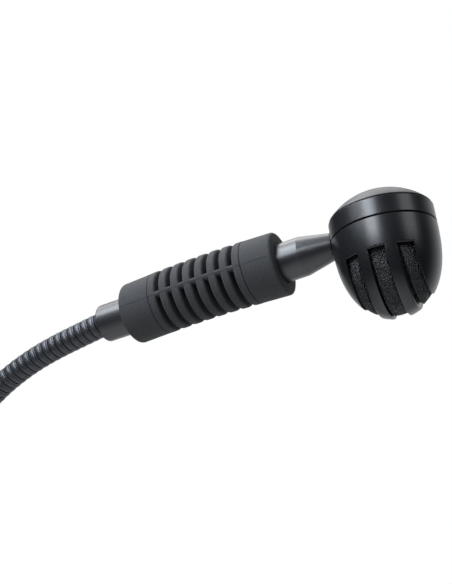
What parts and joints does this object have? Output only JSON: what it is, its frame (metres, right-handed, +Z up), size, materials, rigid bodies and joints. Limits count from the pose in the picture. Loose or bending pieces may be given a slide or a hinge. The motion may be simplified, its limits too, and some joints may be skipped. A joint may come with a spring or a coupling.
{
  "type": "gooseneck microphone",
  "caption": "Gooseneck microphone: three-pin plug, flexible ribbed neck, slotted rubber shock mount, turned stem and a half-egg head with foam behind open slots.",
  "frame": {"origin": "centre of the plug's seating shoulder, on the plug's axis", "axes": "+Z up the plug axis and the lower neck, +X the way the neck leans over and the head hangs"},
  "size_m": [0.1935, 0.0306, 0.3346],
  "materials": {
    "black_anodised": "satin",
    "black_cast": "satin",
    "neck_steel": "satin",
    "lead_jacket": "satin",
    "core_red": "gloss",
    "mount_rubber": "matte",
    "shell_satin": "satin",
    "open_cell_foam": "matte",
    "black_plastic": "matte",
    "plated_metal": "satin",
    "magnet_grey": "satin",
    "coil_copper": "satin",
    "film": "gloss",
    "board_green": "satin"
  },
  "bodies": {
    "base": {"plug_shell": "black_cast", "pin_insert": "black_plastic", "pin_1": "plated_metal", "pin_2": "plated_metal", "pin_3": "plated_metal", "insert_screw": "plated_metal", "plug_core_1": "core_red", "plug_core_2": "lead_jacket", "plug_core_3": "lead_jacket", "base_collar": "black_cast", "collar_set_screw": "black_cast", "lead_clamp": "black_plastic", "neck_section_01": "neck_steel", "lead_section_01": "lead_jacket"},
    "neck_link_2": {"neck_section_02": "neck_steel", "lead_section_02": "lead_jacket"},
    "neck_link_3": {"neck_section_03": "neck_steel", "lead_section_03": "lead_jacket"},
    "neck_link_4": {"neck_section_04": "neck_steel", "lead_section_04": "lead_jacket"},
    "neck_link_5": {"neck_section_05": "neck_steel", "lead_section_05": "lead_jacket"},
    "neck_link_6": {"neck_section_06": "neck_steel", "lead_section_06": "lead_jacket"},
    "neck_link_7": {"neck_section_07": "neck_steel", "lead_section_07": "lead_jacket"},
    "neck_link_8": {"neck_section_08": "neck_steel", "lead_section_08": "lead_jacket"},
    "neck_link_9": {"neck_section_09": "neck_steel", "lead_section_09": "lead_jacket"},
    "neck_end": {"neck_section_10": "neck_steel", "lead_section_10": "lead_jacket", "neck_ferrule": "black_anodised", "ferrule_set_screw": "black_anodised"},
    "shock_mount": {"shock_sleeve": "mount_rubber", "shock_lead": "lead_jacket"},
    "head": {"stem": "black_anodised", "stem_washer": "plated_metal", "stem_nut": "plated_metal", "head_lead": "lead_jacket", "capsule_core_1": "core_red", "capsule_core_2": "lead_jacket", "head_bowl": "shell_satin", "head_band": "shell_satin", "head_cap": "shell_satin", "foam_liner": "open_cell_foam", "capsule_frame": "black_plastic", "front_grille": "plated_metal", "magnet": "magnet_grey", "top_plate": "plated_metal", "yoke_cup": "plated_metal", "suspension_ring": "mount_rubber", "terminal_board": "board_green", "terminal_lug_1": "plated_metal", "terminal_lug_2": "plated_metal"},
    "moving_coil": {"diaphragm": "film", "voice_coil": "coil_copper"}
  },
  "joints": [
    {"name": "neck_bend_1", "type": "hinge", "parent": "base", "child": "neck_link_2", "pos_m": [0, 0, 0.073], "axis": [0, 1, 0], "range_deg": [-30, 20]},
    {"name": "neck_sway_1", "type": "hinge", "parent": "neck_link_2", "child": "neck_link_3", "pos_m": [0, 0, 0.101], "axis": [1, 0, 0], "range_deg": [-25, 25]},
    {"name": "neck_bend_2", "type": "hinge", "parent": "neck_link_3", "child": "neck_link_4", "pos_m": [0, 0, 0.129], "axis": [0, 1, 0], "range_deg": [-30, 20]},
    {"name": "neck_sway_2", "type": "hinge", "parent": "neck_link_4", "child": "neck_link_5", "pos_m": [0, 0, 0.157], "axis": [1, 0, 0], "range_deg": [-25, 25]},
    {"name": "neck_bend_3", "type": "hinge", "parent": "neck_link_5", "child": "neck_link_6", "pos_m": [0, 0, 0.185], "axis": [0, 1, 0], "range_deg": [-30, 20]},
    {"name": "neck_sway_3", "type": "hinge", "parent": "neck_link_6", "child": "neck_link_7", "pos_m": [0.00003, 0, 0.213], "axis": [0.9996, 0, -0.0279], "range_deg": [-25, 25]},
    {"name": "neck_bend_4", "type": "hinge", "parent": "neck_link_7", "child": "neck_link_8", "pos_m": [0.00619, 0, 0.24013], "axis": [0, 1, 0], "range_deg": [-34, 12]},
    {"name": "neck_sway_4", "type": "hinge", "parent": "neck_link_8", "child": "neck_link_9", "pos_m": [0.02224, 0, 0.26286], "axis": [0.6894, 0, -0.7244], "range_deg": [-25, 25]},
    {"name": "neck_bend_5", "type": "hinge", "parent": "neck_link_9", "child": "neck_end", "pos_m": [0.04564, 0, 0.27796], "axis": [0, 1, 0], "range_deg": [-34, 12]},
    {"name": "mount_pitch", "type": "hinge", "parent": "neck_end", "child": "shock_mount", "pos_m": [0.0999, 0, 0.29187], "axis": [0, 1, 0], "range_deg": [-4, 4], "stiffness_Nm_per_rad": 2, "deforming": ["shock_sleeve", "shock_lead"]},
    {"name": "mount_yaw", "type": "hinge", "parent": "shock_mount", "child": "head", "pos_m": [0.11907, 0, 0.29545], "axis": [-0.1834, 0, 0.983], "range_deg": [-4, 4], "stiffness_Nm_per_rad": 2},
    {"name": "coil_travel", "type": "slide", "parent": "head", "child": "moving_coil", "axis": [0.1317, 0, -0.9913], "range_m": [-0.0003, 0.0003], "stiffness_N_per_m": 200}
  ]
}
